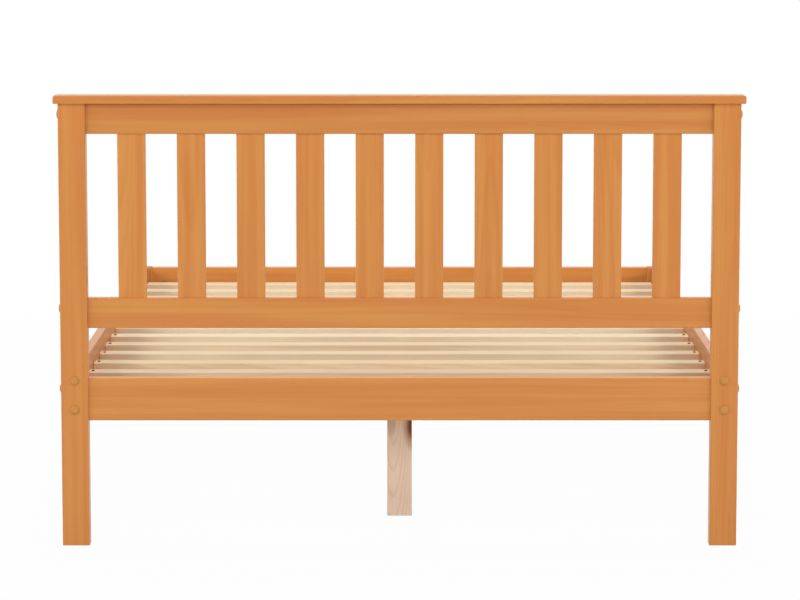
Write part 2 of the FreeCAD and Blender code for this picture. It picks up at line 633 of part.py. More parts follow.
def barrel_nut(label):
    """Cross-bored cylinder about its own middle, axis along Z, bore along X, driver slot on top."""
    barrel = document.addObject("Part::Cylinder", f"{label}_barrel")
    bind(barrel, "Radius", "nut_diameter / 2")
    bind(barrel, "Height", "nut_length")
    bind(barrel, "Placement.Base.z", "-nut_length / 2")
    bore = document.addObject("Part::Cylinder", f"{label}_bore")
    bore.Placement.Rotation = FreeCAD.Rotation(along_z, along_x)
    bind(bore, "Radius", "(bolt_diameter + fit_room) / 2")
    bind(bore, "Height", "nut_diameter + 2 * overrun")
    bind(bore, "Placement.Base.x", "-nut_diameter / 2 - overrun")
    bored = document.addObject("Part::Cut", f"{label}_bored")
    bored.Base = barrel
    bored.Tool = bore
    slot = document.addObject("Part::Box", f"{label}_slot")
    bind(slot, "Length", "nut_slot_width")
    bind(slot, "Width", "nut_diameter + 2 * overrun")
    bind(slot, "Height", "nut_slot_depth + overrun")
    place(slot, "-nut_slot_width / 2", "-nut_diameter / 2 - overrun", "nut_length / 2 - nut_slot_depth")
    nut = document.addObject("Part::Cut", label)
    nut.Base = bored
    nut.Tool = slot
    return nut


def domed_cap(label):
    """Cap resting at its origin, its top cut from a ball and its stem down in the sunk seat."""
    disc = document.addObject("Part::Cylinder", f"{label}_disc")
    bind(disc, "Radius", "bolt_cap_diameter / 2")
    bind(disc, "Height", "bolt_cap_rise")
    ball = document.addObject("Part::Sphere", f"{label}_ball")
    bind(ball, "Radius", "dome_radius")
    bind(ball, "Placement.Base.z", "bolt_cap_rise - dome_radius")
    dome = document.addObject("Part::Common", f"{label}_dome")
    dome.Base = disc
    dome.Tool = ball
    stem = document.addObject("Part::Cylinder", f"{label}_stem")
    bind(stem, "Radius", "(sink_diameter - fit_room) / 2")
    bind(stem, "Height", "bolt_cap_stem + bolt_cap_lip")
    bind(stem, "Placement.Base.z", "-bolt_cap_stem")
    cap = document.addObject("Part::Fuse", label)
    cap.Base = dome
    cap.Tool = stem
    return cap


def angle_bracket(label):
    """Steel angle about its corner: one flange along X, one along Y, a row of screw holes in each."""
    body = new_body(label)
    profile = sketch_on(body, "XY_Plane", "profile")
    outline(profile, [("0", "0"), ("bracket_flange", "0"), ("bracket_flange", "bracket_thickness"),
                      ("bracket_thickness", "bracket_thickness"), ("bracket_thickness", "bracket_flange"),
                      ("0", "bracket_flange")])
    plate = pad(body, profile, "bracket_height", "Symmetric")
    corner = FreeCAD.Vector(0, 0, 0)
    round_edges(body, plate, "bracket_bend",
                lambda edge: edge.isInside(corner, Part.Precision.confusion(), True))
    section = countersink("bracket_thickness + overrun", "0")
    hole_span = f"bracket_hole_step * {bracket_holes_per_flange - 1}"
    hole = sketch_on(body, "XY_Plane", "rail_hole", right="bracket_hole_start", up="bracket_thickness")
    outline(hole, [(away, f"-({down})") for away, down in section])
    cut = turn(body, "Groove", hole, "V_Axis")
    repeat_features(body, "X_Axis", [cut], bracket_holes_per_flange, hole_span)
    hole = sketch_on(body, "XY_Plane", "beam_hole", right="bracket_thickness", up="bracket_hole_start")
    outline(hole, [(f"-({down})", away) for away, down in section])
    cut = turn(body, "Groove", hole, "H_Axis")
    repeat_features(body, "Y_Axis", [cut], bracket_holes_per_flange, hole_span)
    return body


def facing(direction):
    """Turn that points a piece's own Z in a direction."""
    return FreeCAD.Rotation(along_z, direction)


def group(label, piece, places):
    """Copies of one piece, each a solid of its own, at places given as a point and a turn."""
    copies = []
    for point, rotation in places:
        copy = piece.Shape.copy()
        copy.Placement = FreeCAD.Placement(FreeCAD.Vector(*point), rotation).multiply(piece.Placement)
        copies.append(copy)
    feature = document.addObject("Part::Feature", label)
    feature.Label = label
    feature.Shape = Part.makeCompound(copies)
    pieces.append(feature)


# One of each fastener.
side_bolt = bolt("side_bolt", "side_bolt_length")
cross_bolt = bolt("cross_bolt", "cross_bolt_length")
nut = barrel_nut("nut")
bolt_cap = domed_cap("bolt_cap")
rail_dowel = rod("rail_dowel", "rail_dowel_diameter", "rail_dowel_length", "dowel_bevel")
cap_dowel = rod("cap_dowel", "cap_dowel_diameter", "cap_dowel_length", "dowel_bevel")
stud = rod("stud", "stud_diameter", "stud_length", "bolt_tip")
slat_screw = screw("slat_screw", "slat_screw_length")
ledger_screw = screw("ledger_screw", "ledger_screw_length")
bracket_screw = screw("bracket_screw", "bracket_screw_length")
bracket = angle_bracket("bracket")
document.recompute()

# Places of the fasteners, from the same lengths as the bores.
rail_x = value("rail_centre_x")
post_inner = value("post_inner_x")
post_outer = value("post_outer_x")
sink = value("sink_depth")
post_faces = ((value("head_face_y"), along_y), (value("foot_face_y"), -along_y))
side_levels = (value("side_bolt_low_z"), value("side_bolt_high_z"))
head_y = value("head_post_y")
foot_y = value("foot_post_y")
cross_bolt_spots = [(head_y, value(level), along_y) for level in head_bolt_levels]
cross_bolt_spots.append((foot_y, value("end_bolt_z"), -along_y))
head_dowel_spots = [(head_y, value(level)) for level in head_dowel_levels]
foot_dowel_spots = [(foot_y, value("end_dowel_z"))]
sides = (-1, 1)

side_bolts = []
side_nuts = []
side_caps = []
for side in sides:
    for face, inward in post_faces:
        nut_y = face + inward.y * value("post_depth + side_nut_inset")
        nut_turn = FreeCAD.Rotation(along_y, -side * along_z, -side * along_x, "ZXY")
        for level in side_levels:
            side_bolts.append(((side * rail_x, face + inward.y * sink, level), facing(inward)))
            side_nuts.append(((side * rail_x, nut_y, level), nut_turn))
            side_caps.append(((side * rail_x, face, level), facing(-inward)))
group("side_rail_bolts", side_bolt, side_bolts)
group("side_rail_barrel_nuts", nut, side_nuts)
group("side_rail_bolt_caps", bolt_cap, side_caps)

cross_bolts = []
cross_nuts = []
cross_caps = []
for side in sides:
    outward = side * along_x
    nut_x = side * (post_inner - value("cross_nut_inset"))
    for y, level, inward in cross_bolt_spots:
        nut_turn = FreeCAD.Rotation(along_x, inward.cross(along_x), inward, "ZXY")
        cross_bolts.append(((side * (post_outer - sink), y, level), facing(-outward)))
        cross_nuts.append(((nut_x, y, level), nut_turn))
        cross_caps.append(((side * post_outer, y, level), facing(outward)))
group("cross_rail_bolts", cross_bolt, cross_bolts)
group("cross_rail_barrel_nuts", nut, cross_nuts)
group("cross_rail_bolt_caps", bolt_cap, cross_caps)

dowel_start = post_inner - value("rail_dowel_length") / 2
for label, spots in (("head_rail_dowels", head_dowel_spots), ("foot_rail_dowels", foot_dowel_spots)):
    places = [((side * dowel_start, y, level), facing(side * along_x))
              for side in sides for y, level in spots]
    group(label, rail_dowel, places)
dowel_foot = value("head_post_height + cap_dowel_grip - cap_dowel_length")
places = [((value(reach), head_y, dowel_foot), facing(along_z)) for reach in cap_dowel_reaches]
group("head_cap_dowels", cap_dowel, places)

rail_middle = value("rail_middle_y")
stud_foot = value("leg_height + stud_grip - stud_length")
leg_reach = value("leg_offset")
places = [((0, rail_middle + end * leg_reach, stud_foot), facing(along_z)) for end in sides]
group("leg_studs", stud, places)

slat_pitch = value("bed_slat_pitch")
screw_top = value("rail_top_z - mattress_sink - screw_recess")
slat_steps = [number - (bed_slat_count - 1) / 2 for number in range(bed_slat_count)]
places = [((side * value("ledger_x"), rail_middle + step * slat_pitch, screw_top), facing(-along_z))
          for side in sides for step in slat_steps]
group("slat_screws", slat_screw, places)

screw_x = value("rail_inner_x - ledger_width + screw_recess")
screw_steps = [slats_between_ledger_screws * (number - (ledger_screw_count - 1) / 2)
               for number in range(ledger_screw_count)]
places = [((side * screw_x, rail_middle + step * slat_pitch, value("ledger_z")), facing(side * along_x))
          for side in sides for step in screw_steps]
group("ledger_screws", ledger_screw, places)

# An angle bracket in each corner between the beam and the low rails, with its screws.
bracket_level = value("beam_z")
beam_end = value("beam_length") / 2
beam_side = value("beam_width") / 2
plate = value("bracket_thickness")
hole_reaches = [value(f"bracket_hole_start + {number} * bracket_hole_step")
                for number in range(bracket_holes_per_flange)]
screw_places = []
for label, end in (("beam_brackets_head", -1), ("beam_brackets_foot", 1)):
    rail_face = rail_middle + end * beam_end
    bracket_places = []
    for side in sides:
        quarter_turns = {(1, -1): 0, (-1, -1): 1, (-1, 1): 2, (1, 1): 3}[(side, end)]
        bracket_turn = FreeCAD.Rotation(along_z, quarter_turns * 90)
        bracket_places.append(((side * beam_side, rail_face, bracket_level), bracket_turn))
        for reach in hole_reaches:
            on_rail = (side * (beam_side + reach), rail_face - end * plate, bracket_level)
            on_beam = (side * (beam_side + plate), rail_face - end * reach, bracket_level)
            screw_places += [(on_rail, facing(end * along_y)), (on_beam, facing(-side * along_x))]
    group(label, bracket, bracket_places)
group("bracket_screws", bracket_screw, screw_places)

document.recompute()
for feature in document.Objects:
    if "Invalid" in feature.State or "Error" in feature.State:
        raise ValueError(f"{feature.Label} did not build: {feature.State}")
    if feature.TypeId in ("PartDesign::Pocket", "PartDesign::Groove"):
        if feature.Shape.Volume >= feature.BaseFeature.Shape.Volume:
            raise ValueError(f"{feature.Label} cuts nothing")
for piece in pieces:
    if piece.Shape.isNull() or not piece.Shape.isValid():
        raise ValueError(f"{piece.Label} has no valid shape")

os.makedirs("parts", exist_ok=True)
for piece in pieces:
    piece.Shape.exportStep(f"parts/{piece.Label}.step")
print(f"{len(pieces)} pieces written")
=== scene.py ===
import math

import bpy
import numpy as np
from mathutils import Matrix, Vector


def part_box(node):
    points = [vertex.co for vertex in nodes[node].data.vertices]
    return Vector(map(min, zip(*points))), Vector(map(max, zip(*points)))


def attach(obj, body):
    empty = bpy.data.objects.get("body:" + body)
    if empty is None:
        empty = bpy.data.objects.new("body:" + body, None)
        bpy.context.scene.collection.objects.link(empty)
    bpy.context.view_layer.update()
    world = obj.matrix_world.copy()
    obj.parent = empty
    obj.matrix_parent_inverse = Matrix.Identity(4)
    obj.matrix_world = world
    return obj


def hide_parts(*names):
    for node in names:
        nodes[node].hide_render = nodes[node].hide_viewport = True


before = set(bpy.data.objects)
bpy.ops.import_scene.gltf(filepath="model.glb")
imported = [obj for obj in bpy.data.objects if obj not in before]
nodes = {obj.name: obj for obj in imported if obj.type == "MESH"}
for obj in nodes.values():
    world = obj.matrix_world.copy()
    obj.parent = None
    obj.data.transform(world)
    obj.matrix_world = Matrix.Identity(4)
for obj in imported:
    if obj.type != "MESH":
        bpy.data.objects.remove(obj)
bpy.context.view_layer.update()  # the bed's solids, all on one body called root
print("frame:", len(nodes), "nodes")


class Wire:
    # one socket of a material: sums written on it add Math nodes
    def __init__(self, tree, socket=None):
        self.tree = tree
        self.socket = socket

    def make(self, kind, settings=None, sockets=None, output=0):
        # any node: its settings first, then the values or links of its sockets
        node = self.tree.nodes.new(kind)
        for key, setting in (settings or {}).items():
            setattr(node, key, setting)
        for key, given in (sockets or {}).items():
            if isinstance(given, Wire):
                self.tree.links.new(given.socket, node.inputs[key])
            else:
                node.inputs[key].default_value = given
        return Wire(self.tree, node.outputs[output] if len(node.outputs) else None)

    def math(self, operation, *operands):
        return self.make("ShaderNodeMath", {"operation": operation}, dict(enumerate(operands)))

    def vector(self, operation, *operands, output=0):
        return self.make("ShaderNodeVectorMath", {"operation": operation}, dict(enumerate(operands)), output)

    def __add__(self, other):
        return self.math("ADD", self, other)

    def __sub__(self, other):
        return self.math("SUBTRACT", self, other)

    def __rsub__(self, other):
        return self.math("SUBTRACT", other, self)

    def __mul__(self, other):
        return self.math("MULTIPLY", self, other)

    def __truediv__(self, other):
        return self.math("DIVIDE", self, other)

    def __rtruediv__(self, other):
        return self.math("DIVIDE", other, self)

    def __pow__(self, other):
        return self.math("POWER", self, other)

    __radd__ = __add__
    __rmul__ = __mul__

    def step(self, low, high):
        # 0 below low, 1 above high, smooth between
        return self.make("ShaderNodeMapRange", {"interpolation_type": "SMOOTHSTEP"},
                         {"Value": self, "From Min": low, "From Max": high})

    def noise(self, stretch, detail=2.0, output=0):
        # noise about 0.5 on a place, with its own pattern density on each axis
        place = self.vector("MULTIPLY", self, stretch)
        return self.make("ShaderNodeTexNoise", {}, {"Vector": place, "Scale": 1.0, "Detail": detail}, output)

    def blend(self, low, high):
        # colour from low to high as this value goes from 0 to 1
        return self.make("ShaderNodeMix", {"data_type": "RGBA"}, {0: self, 6: low, 7: high}, 2)

    def parts(self):
        # the three numbers of a place
        node = self.make("ShaderNodeSeparateXYZ", {}, {0: self}).socket.node
        return [Wire(self.tree, socket) for socket in node.outputs]


def newMaterial(name):
    material = bpy.data.materials.new(name)
    material.use_nodes = True
    material.node_tree.nodes.clear()
    return material, Wire(material.node_tree)


def finish(material, wire, surface):
    # the shader of a material, with what varies linked and what doesn't set
    shader = wire.make("ShaderNodeBsdfPrincipled", {}, surface)
    wire.make("ShaderNodeOutputMaterial", {}, {"Surface": shader})
    return material


def rgb(red, green, blue):
    # screen colour, 0 to 255, as linear light
    share = np.array((red, green, blue)) / 255
    linear = np.where(share > 0.04045, ((share + 0.055) / 1.055) ** 2.4, share / 12.92)
    return (*(float(v) for v in linear), 1.0)


# Pine boards: every board is cut from its own log, so each has a material of its own.
stain = {"early": rgb(211, 142, 72), "late": rgb(183, 104, 43), "bandTint": rgb(204, 127, 62),
         "endGrain": rgb(161, 93, 43), "edge": rgb(218, 155, 91),
         "roughness": 0.32, "specular": 0.4, "ringShare": 0.17, "fibreShare": 0.18, "bandShare": 0.9,
         "lateFrom": 0.30, "bumpDepth": 0.00006}
# Lighter and darker copies of the stain: painted light and painted shade for two rails.
paintedLightStain = dict(stain, early=rgb(214, 145, 74), late=rgb(186, 107, 45), bandTint=rgb(207, 130, 64))
paintedShadeStain = dict(stain, early=rgb(207, 139, 71), late=rgb(179, 101, 42), bandTint=rgb(200, 124, 61))
bare = {"early": rgb(238, 217, 183), "late": rgb(212, 178, 134), "bandTint": rgb(230, 201, 164),
        "endGrain": rgb(206, 174, 132), "edge": rgb(240, 222, 194),
        "roughness": 0.50, "specular": 0.3, "ringShare": 0.24, "fibreShare": 0.15, "bandShare": 0.5,
        "lateFrom": 0.30, "bumpDepth": 0.00012}
# A paler copy of the bare pine for two far slats: painted light, standing in for light that reaches them
# over the headboard.
paintedLightPine = dict(bare, early=rgb(247, 229, 197), late=rgb(226, 194, 151), bandTint=rgb(240, 215, 181))
# The warm ring colour round the knot is partly painted shade and painted orange bounce from the end rail.
legPine = dict(bare, early=rgb(247, 223, 202), late=rgb(202, 160, 132), bandTint=rgb(240, 211, 187),
               knot=rgb(112, 58, 36), haloAndShade=rgb(190, 128, 80), ringShare=0.25, lateFrom=0.62)
log = {"yearWidth": (0.0030, 0.0048), "pithAway": (0.03, 0.11), "lean": 0.022, "sway": 0.012,
       "drift": 40.0, "shade": 0.06}
# How dense each pattern is along a board, across it and through it, and how much it counts.
grain = {"sway": (1.6, 5, 5), "fibre": (14, 620, 620), "band": (1.3, 52, 52), "cloud": (2.4, 6, 6),
         "bandFade": (0.34, 0.66), "cloudShare": 0.3, "lateFull": 0.93, "lateDrop": 0.94,
         "wornReach": 0.0035, "wornFade": (0.35, 0.7), "wornShare": 0.35, "sawnFade": (0.6, 0.9),
         "sawnShare": 0.7, "fibreRough": 0.16, "lateRough": 0.05, "sawnRough": 0.2,
         "fibreRelief": 0.7, "lateRelief": 0.5, "bump": 0.6}
# warmFade spreads the painted shade and bounce of the warm ring round each knot.
knotLook = {"bend": 1.4, "bendFade": 1.5, "darkFade": (0.08, 1.2), "warmFade": (0.5, 3.6)}
# How the local X, the way of the grain, turns to lie along X, Y or Z.
turns = {0: (0, 0, 0), 1: (0, 0, math.pi / 2), 2: (0, -math.pi / 2, 0)}

# The seen leg was cut beside the heart, so its face shows arches, and a branch left a dark knot at its
# arris;
# its size, warm ring and the pale patch beside it are partly painted shade and orange bounce at the leg's
# top.
legHeart = {"pith": (-0.0469, 0.013), "lean": (0.085, 0.004), "yearWidth": 0.0046}
legKnotsAndShade = ({"along": 0.064, "deep": -0.0285, "length": 0.034, "width": 0.0125, "dark": 0.95, "warm": 0.75},
            {"along": 0.068, "deep": 0.0190, "length": 0.020, "width": 0.0075, "dark": 0.06, "warm": 0.34})


def pine(node, tone, seed, heart=None, knotsAndShade=()):
    # The year is the distance from a leaning, slowly swaying pith line over the year's width; its fraction
    # rises softly to late wood and drops back. Fine and broad noise stretched along the grain lies over it.
    low, high = (np.array(corner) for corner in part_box(node))
    axis = int(np.argmax(high - low))
    across = {0: (1, 2), 1: (0, 2), 2: (1, 0)}[axis]
    half = [(high - low)[i] / 2 for i in across]
    dice = np.random.default_rng(seed)
    angle, away = dice.uniform(0, 2 * math.pi), dice.uniform(*log["pithAway"])
    lean = dice.uniform(-log["lean"], log["lean"], 2)
    years = dice.uniform(*log["yearWidth"])
    drift = dice.uniform(-log["drift"], log["drift"], 3)
    shade = dice.uniform(-log["shade"], log["shade"])
    pith = (away * math.cos(angle), away * math.sin(angle))
    if heart:
        pith, lean, years = heart["pith"], heart["lean"], heart["yearWidth"]

    material, wire = newMaterial("pine_" + node)
    spot = wire.make("ShaderNodeTexCoord", output="Object")
    settle = {"Vector": spot, "Location": tuple((low + high) / 2), "Rotation": turns[axis]}
    local = wire.make("ShaderNodeMapping", {"vector_type": "TEXTURE"}, settle)
    along, width, depth = local.parts()
    wood = wire.vector("ADD", local, tuple(drift))  # this board's own stretch of noise
    sway = wire.vector("SUBTRACT", wood.noise(grain["sway"], 1.0, output=1), (0.5, 0.5, 0.5))
    bent = wire.vector("MULTIPLY_ADD", sway, (0, log["sway"], log["sway"]), local)
    side, deep = bent.parts()[1:]
    a = side - along * lean[0] - pith[0]
    b = deep - along * lean[1] - pith[1]
    year = (a * a + b * b) ** 0.5 / years
    knotAndShade = None
    for knot in knotsAndShade:  # a branch: dark oval, warm about it, years bent round it; partly painted shade
        up = (along - knot["along"]) / knot["length"]
        aside = (depth - knot["deep"]) / knot["width"]
        oval = up ** 2 + aside ** 2
        year = year + knotLook["bend"] * knot["dark"] / (1 + knotLook["bendFade"] * oval)
        core = [(1 - oval.step(*knotLook["darkFade"])) * knot["dark"],
                (1 - oval.step(*knotLook["warmFade"])) * knot["warm"]]
        if knotAndShade:
            core = [one.math("MAXIMUM", one, two) for one, two in zip(core, knotAndShade)]
        knotAndShade = core
    ring = year.math("FRACT", year)
    late = ring.step(tone["lateFrom"], grain["lateFull"]) * (1 - ring.step(grain["lateDrop"], 1.0))
    fibre = wood.noise(grain["fibre"], 3.0)
    band = wood.noise(grain["band"], 2.0)
    cloud = wood.noise(grain["cloud"], 2.0)

    rim = [part.math("ABSOLUTE", part) - edge for part, edge in zip((width, depth), half)]
    worn = rim[0].math("MINIMUM", *rim).step(-grain["wornReach"], 0.0) * cloud.step(*grain["wornFade"])
    facing = wire.make("ShaderNodeTexCoord", output="Normal")
    grainWay = tuple(float(i == axis) for i in range(3))
    tilt = wire.vector("DOT_PRODUCT", facing, grainWay, output="Value")
    sawn = tilt.math("ABSOLUTE", tilt).step(*grain["sawnFade"])  # the ends, cut across the grain

    tint = band.step(*grain["bandFade"]) * tone["bandShare"]
    colour = tint.blend(tone["early"], tone["bandTint"])
    dark = late * tone["ringShare"] + (fibre - 0.5) * tone["fibreShare"]
    dark = dark + (cloud - 0.5) * grain["cloudShare"] + shade
    colour = dark.math("MAXIMUM", dark, 0.0).blend(colour, tone["late"])
    colour = (worn * grain["wornShare"]).blend(colour, tone["edge"])
    colour = (sawn * grain["sawnShare"]).blend(colour, tone["endGrain"])
    if knotAndShade:
        # Painted shade and orange end-rail bounce in the warm ring, then the dark knot, grown to stand for
        # shade too.
        colour = knotAndShade[1].blend(colour, tone["haloAndShade"])
        colour = knotAndShade[0].blend(colour, tone["knot"])
    rough = tone["roughness"] + (fibre - 0.5) * grain["fibreRough"]
    rough = rough + late * grain["lateRough"] + sawn * grain["sawnRough"]
    relief = fibre * grain["fibreRelief"] - late * grain["lateRelief"]
    bump = wire.make("ShaderNodeBump", {}, {"Strength": grain["bump"], "Distance": tone["bumpDepth"],
                                            "Height": relief})
    return finish(material, wire, {"Base Color": colour, "Roughness": rough, "Normal": bump,
                                   "Specular IOR Level": tone["specular"]})


stained = ("head_post", "head_cap", "head_upper", "head_lower", "head_end", "head_slat", "foot_post",
           "foot_rail", "side_rail_left", "side_rail_right", "slat_ledger")
unstained = ("bed_slat", "centre_beam")
paintedLightSlats = ("bed_slat_06", "bed_slat_07")  # painted light: painted paler, as if lit more
# The low end rail is painted lighter and the high upper rail darker, evening out light that is stronger high
# up.
paintedRailLight = {"head_end_rail": paintedLightStain, "head_upper_rail": paintedShadeStain}  # painted light and shade


def dress(node, material):
    # the node keeps its mesh and takes a new finish
    nodes[node].data.materials.clear()
    nodes[node].data.materials.append(material)


for seed, node in enumerate(sorted(nodes)):
    if node.startswith(stained):
        dress(node, pine(node, paintedRailLight.get(node, stain), seed))
    elif node.startswith(unstained):
        dress(node, pine(node, paintedLightPine if node in paintedLightSlats else bare, seed))
    elif node == "centre_leg_head":
        dress(node, pine(node, legPine, seed, legHeart, legKnotsAndShade))
    elif node == "centre_leg_foot":
        dress(node, pine(node, legPine, seed, legHeart))
print("boards: dressed")


# Metal and dowels, and the caps over the bolts.
steel = {"colour": rgb(196, 196, 192), "dull": rgb(150, 150, 148), "roughness": 0.32}
screwSteel = {"colour": rgb(40, 28, 19), "bright": rgb(60, 43, 30), "roughness": 0.62, "specular": 0.03}
capWood = {"colour": rgb(202, 141, 71), "dark": rgb(194, 128, 58), "roughness": 0.38, "specular": 0.4}
beech = {"colour": rgb(216, 184, 146), "fleck": rgb(180, 138, 98), "roughness": 0.6}
speckle = {"fade": (0.3, 0.75), "bump": 0.3, "bumpDepth": 0.00005, "roughShare": 0.25}


def mottled(name, first, second, roughness, metal, density, specular=0.5):
    # two tones mixed by fine noise, which also roughens the surface
    material, wire = newMaterial(name)
    spot = wire.make("ShaderNodeTexCoord", output="Object")
    specks = spot.noise(density, 4.0)
    colour = specks.step(*speckle["fade"]).blend(first, second)
    bump = wire.make("ShaderNodeBump", {}, {"Strength": speckle["bump"], "Distance": speckle["bumpDepth"],
                                            "Height": specks})
    rough = roughness + (specks - 0.5) * speckle["roughShare"]
    return finish(material, wire, {"Base Color": colour, "Roughness": rough, "Metallic": metal,
                                   "Normal": bump, "Specular IOR Level": specular})


zincFinish = mottled("zinc_plate", steel["colour"], steel["dull"], steel["roughness"], 1.0, (900, 900, 900))
screwFinish = mottled("dark_steel", screwSteel["colour"], screwSteel["bright"], screwSteel["roughness"], 0.0,
                      (1400, 1400, 1400), screwSteel["specular"])
capFinish = mottled("cap_wood", capWood["colour"], capWood["dark"], capWood["roughness"], 0.0,
                    (160, 160, 700), capWood["specular"])
dowelFinish = mottled("beech_dowel", beech["colour"], beech["fleck"], beech["roughness"], 0.0,
                      (700, 700, 700))

for node in nodes:
    if node.endswith("dowels"):
        dress(node, dowelFinish)
    elif node.endswith(("bolts", "barrel_nuts", "studs")) or node.startswith("beam_brackets"):
        dress(node, zincFinish)
print("hardware: dressed")


# Caps and screws are turned forms, made once and set at every solid of the node that they stand for.
def solidsOf(node):
    # the node's separate solids as points: triangles that share a corner pass on their lowest number
    mesh = nodes[node].data
    flat = np.empty(len(mesh.vertices) * 3)
    mesh.vertices.foreach_get("co", flat)
    corner = np.empty(len(mesh.loops), dtype=int)
    mesh.loops.foreach_get("vertex_index", corner)
    points, same = np.unique(np.round(flat.reshape(-1, 3), 6), axis=0, return_inverse=True)
    triangles = same.ravel()[corner].reshape(-1, 3)
    mark = np.arange(len(points))
    settled = False
    while not settled:
        lower = mark.copy()
        np.minimum.at(lower, triangles.ravel(), np.repeat(mark[triangles].min(axis=1), 3))
        settled = bool((lower == mark).all())
        mark = lower
    return [points[mark == number] for number in np.unique(mark)]


def seat(points):
    # where a turned solid starts, at its wide end, with two ways across it and the way that its axis goes
    low, high = points.min(axis=0), points.max(axis=0)
    span = high - low
    axis = int(np.argmax(np.abs(span - np.median(span))))
    place = (low + high) / 2
    reach = np.linalg.norm(np.delete(points - place, axis, axis=1), axis=1)
    wide = [reach[np.abs(points[:, axis] - edge[axis]) < 1e-5].max() for edge in (low, high)]
    start = 0 if wide[0] > wide[1] else 1
    place[axis] = (low, high)[start][axis]
    way = np.zeros(3)
    way[axis] = 1 - 2 * start
    right = np.roll(np.abs(way), 1)
    return place, np.array((right, np.cross(way, right), way)), span[axis], wide[start]


def turnedPiece(name, node, material, angle, radius, height):
    # Rings of points round an axis, ring i and side j at radius[i, j] and height[i, j], with the last side
    # joined to the first and a point closing each end; one copy at each solid of the node.
    rings, sides = radius.shape
    ring = np.stack((radius * np.cos(angle), radius * np.sin(angle), height), axis=-1).reshape(-1, 3)
    form = np.vstack((ring, (0, 0, height[0].mean()), (0, 0, height[-1].mean())))
    seats = [seat(points)[:2] for points in solidsOf(node)]
    points = np.concatenate([place + form @ ways for place, ways in seats])
    i, j = np.meshgrid(np.arange(rings - 1), np.arange(sides), indexing="ij")
    after = (j + 1) % sides
    near, far = i * sides, (i + 1) * sides
    quads = np.stack((near + j, near + after, far + after, far + j), axis=-1).reshape(-1, 4)
    j, after = j[0], after[0]
    last = (rings - 1) * sides
    fans = np.vstack((np.stack((np.full(sides, len(form) - 2), after, j), axis=-1),
                      np.stack((np.full(sides, len(form) - 1), last + j, last + after), axis=-1)))
    faces = []
    for copy in range(len(seats)):
        faces += (quads + copy * len(form)).tolist() + (fans + copy * len(form)).tolist()
    mesh = bpy.data.meshes.new(name)
    mesh.from_pydata(points.tolist(), [], faces)
    mesh.polygons.foreach_set("use_smooth", np.ones(len(faces), dtype=bool))
    mesh.materials.append(material)
    piece = bpy.data.objects.new(name, mesh)
    bpy.context.scene.collection.objects.link(piece)
    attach(piece, "root")
    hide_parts(node)
    print(name + ":", len(seats), "copies,", len(faces), "faces")


bolt = {"rim": 0.0110, "rise": 0.0045, "lip": 0.0009, "lipRound": 0.0003, "seam": 0.0007,
        "seamRound": 0.0002, "flatness": 2.6, "shoulder": 0.8, "dish": 0.0003, "dishReach": 0.3, "tip": 0.06,
        "sides": 48, "domeRings": 16}


def boltCap(name, node):
    # A stem with a bevelled end, a thin lip on the post, then a dome: its height falls from the middle as
    # 1 - (r/R)^flatness, to the power of its shoulder, less a shallow dish round the axis.
    length, stem = seat(solidsOf(node)[0])[2:]
    face = length - bolt["rise"]  # the post's surface, from the stem's end
    rim, lip, soft = bolt["rim"], face + bolt["lip"], bolt["lipRound"]
    inner = rim - bolt["seam"]
    share = np.linspace(1, bolt["tip"], bolt["domeRings"])
    swell = (1 - share ** bolt["flatness"]) ** bolt["shoulder"]
    dome = lip + (length - lip) * swell - bolt["dish"] * np.exp(-(share / bolt["dishReach"]) ** 2)
    edge = [(stem / 2, 0), (stem - soft, 0), (stem, soft), (stem, face), (rim - soft, face),
            (rim, face + soft), (rim, lip - soft), (rim - soft, lip), (inner + bolt["seamRound"], lip),
            (inner, lip - soft)]
    profile = np.vstack((edge, np.stack((share * inner, dome), axis=-1)))
    angle = np.linspace(0, 2 * math.pi, bolt["sides"], endpoint=False)
    radius, height = (np.repeat(column[:, None], len(angle), axis=1) for column in profile.T)
    turnedPiece(name, node, capFinish, angle, radius, height)


thread = {"head": 0.0040, "slatRise": 0.0028, "crest": 0.0020, "root": 0.00145, "pitch": 0.0018,
          "ridge": 0.28, "ringsPerTurn": 5, "point": 0.004, "tip": 0.06, "rimDrop": 0.0001,
          "headRings": (0.0004, 0.0008, 0.0011, 0.0016, 0.0021, 0.0025, 0.0027, 0.0032, 0.0038, 0.0040),
          "slotDepth": 0.0014, "slotReach": 0.0026, "slotEnd": 0.0009, "slotHub": 0.0009, "slotHalf": 10,
          "slotSides": (-13, -8, 0, 8, 13, 45)}


def woodScrew(name, node, rise=0.0):
    # A head with a cross sunk into it, which swells as 1 - (r/R)^4 where it has a rise, a cone down to the
    # shank, then a helix: the radius rises from root to crest where height / pitch - turn / 360 is near a
    # half, and both narrow to the point.
    length = seat(solidsOf(node)[0])[2]
    head, crest, root = thread["head"], thread["crest"], thread["root"]
    offsets = np.array(thread["slotSides"], dtype=float)
    angle = np.radians((np.arange(4)[:, None] * 90 + offsets).ravel())
    arm = np.tile(np.abs(offsets) < thread["slotHalf"], 4)
    out = np.array(thread["headRings"])[:, None]
    sunk = np.clip((thread["slotReach"] - out) / thread["slotEnd"], 0, 1) * thread["slotDepth"]
    top = sunk * np.where(out < thread["slotHub"], 1.0, arm) + thread["rimDrop"] * (out == head)
    top = top - rise * (1 - (out / head) ** 4)
    heights = np.arange(head - crest, length, thread["pitch"] / thread["ringsPerTurn"])[:, None]
    turn = (heights / thread["pitch"] - angle / (2 * math.pi)) % 1
    ridge = np.clip(1 - np.abs(turn - 0.5) / thread["ridge"], 0, 1)
    narrow = np.clip((length - heights) / thread["point"], thread["tip"], 1)
    shank = (root + (crest - root) * ridge) * narrow
    radius = np.vstack((np.repeat(out, len(angle), axis=1), shank))
    height = np.vstack((top, np.repeat(heights, len(angle), axis=1)))
    turnedPiece(name, node, screwFinish, angle, radius, height)


